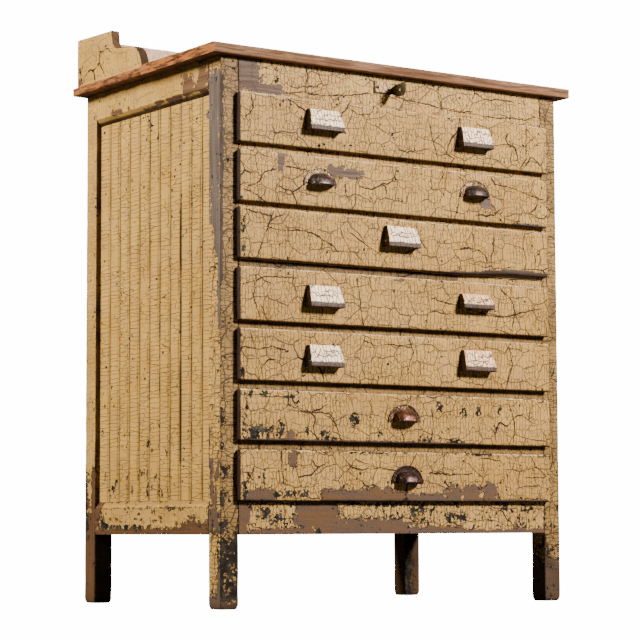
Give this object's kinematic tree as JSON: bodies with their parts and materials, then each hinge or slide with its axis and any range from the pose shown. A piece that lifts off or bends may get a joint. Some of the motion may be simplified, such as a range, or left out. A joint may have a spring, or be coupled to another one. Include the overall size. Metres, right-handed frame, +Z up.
{
  "type": "chest of drawers",
  "caption": "Tall painted type case cabinet on square legs, with wide lipped drawers, beadboard sides, a board top with a gallery, iron bin and cup pulls and a padlock lug.",
  "frame": {"origin": "on the floor, under the middle of the whole cabinet's outline", "axes": "+Z up, +X to the right of someone who faces the drawers, drawers open towards -Y"},
  "size_m": [0.971, 0.656, 1.294],
  "materials": {
    "case_paint": "old cream paint, crackled and worn",
    "front_paint": "old tan-cream paint, crackled and worn",
    "top_wood": "worn brown varnish",
    "inner_wood": "bare softwood, darkened with age",
    "back_wood": "bare softwood, darkened with age",
    "iron": "rusty iron with old paint",
    "screw_steel": "tarnished steel"
  },
  "bodies": {
    "case": {"post_front_left": "case_paint", "post_front_right": "case_paint", "post_rear_left": "case_paint", "post_rear_right": "case_paint", "front_top_rail": "front_paint", "front_bottom_rail": "front_paint", "drawer_rails": "front_paint", "frame_rails": "case_paint", "drawer_runners": "inner_wood", "side_panel_left": "case_paint", "side_panel_right": "case_paint", "back_boards": "back_wood", "top_front_board": "top_wood", "top_rear_board": "top_wood", "gallery_sides": "case_paint", "gallery_back": "case_paint", "lock_lug": "iron", "lock_lug_screws": "screw_steel"},
    "drawer_1": {"drawer_1_front": "front_paint", "drawer_1_sides": "inner_wood", "drawer_1_back": "inner_wood", "drawer_1_bottom": "inner_wood", "drawer_1_pulls": "iron", "drawer_1_screws": "screw_steel"},
    "drawer_2": {"drawer_2_front": "front_paint", "drawer_2_sides": "inner_wood", "drawer_2_back": "inner_wood", "drawer_2_bottom": "inner_wood", "drawer_2_pulls": "iron", "drawer_2_screws": "screw_steel"},
    "drawer_3": {"drawer_3_front": "front_paint", "drawer_3_sides": "inner_wood", "drawer_3_back": "inner_wood", "drawer_3_bottom": "inner_wood", "drawer_3_pulls": "iron", "drawer_3_screws": "screw_steel"},
    "drawer_4": {"drawer_4_front": "front_paint", "drawer_4_sides": "inner_wood", "drawer_4_back": "inner_wood", "drawer_4_bottom": "inner_wood", "drawer_4_pulls": "iron", "drawer_4_screws": "screw_steel"},
    "drawer_5": {"drawer_5_front": "front_paint", "drawer_5_sides": "inner_wood", "drawer_5_back": "inner_wood", "drawer_5_bottom": "inner_wood", "drawer_5_pulls": "iron", "drawer_5_screws": "screw_steel"},
    "drawer_6": {"drawer_6_front": "front_paint", "drawer_6_sides": "inner_wood", "drawer_6_back": "inner_wood", "drawer_6_bottom": "inner_wood", "drawer_6_pulls": "iron", "drawer_6_screws": "screw_steel"},
    "drawer_7": {"drawer_7_front": "front_paint", "drawer_7_sides": "inner_wood", "drawer_7_back": "inner_wood", "drawer_7_bottom": "inner_wood", "drawer_7_pulls": "iron", "drawer_7_screws": "screw_steel"}
  },
  "joints": [
    {"name": "drawer_1_slide", "type": "slide", "parent": "case", "child": "drawer_1", "axis": [0, -1, 0], "range_m": [0, 0.42]},
    {"name": "drawer_2_slide", "type": "slide", "parent": "case", "child": "drawer_2", "axis": [0, -1, 0], "range_m": [0, 0.42]},
    {"name": "drawer_3_slide", "type": "slide", "parent": "case", "child": "drawer_3", "axis": [0, -1, 0], "range_m": [0, 0.42]},
    {"name": "drawer_4_slide", "type": "slide", "parent": "case", "child": "drawer_4", "axis": [0, -1, 0], "range_m": [0, 0.42]},
    {"name": "drawer_5_slide", "type": "slide", "parent": "case", "child": "drawer_5", "axis": [0, -1, 0], "range_m": [0, 0.42]},
    {"name": "drawer_6_slide", "type": "slide", "parent": "case", "child": "drawer_6", "axis": [0, -1, 0], "range_m": [0, 0.42]},
    {"name": "drawer_7_slide", "type": "slide", "parent": "case", "child": "drawer_7", "axis": [0, -1, 0], "range_m": [0, 0.42]}
  ]
}
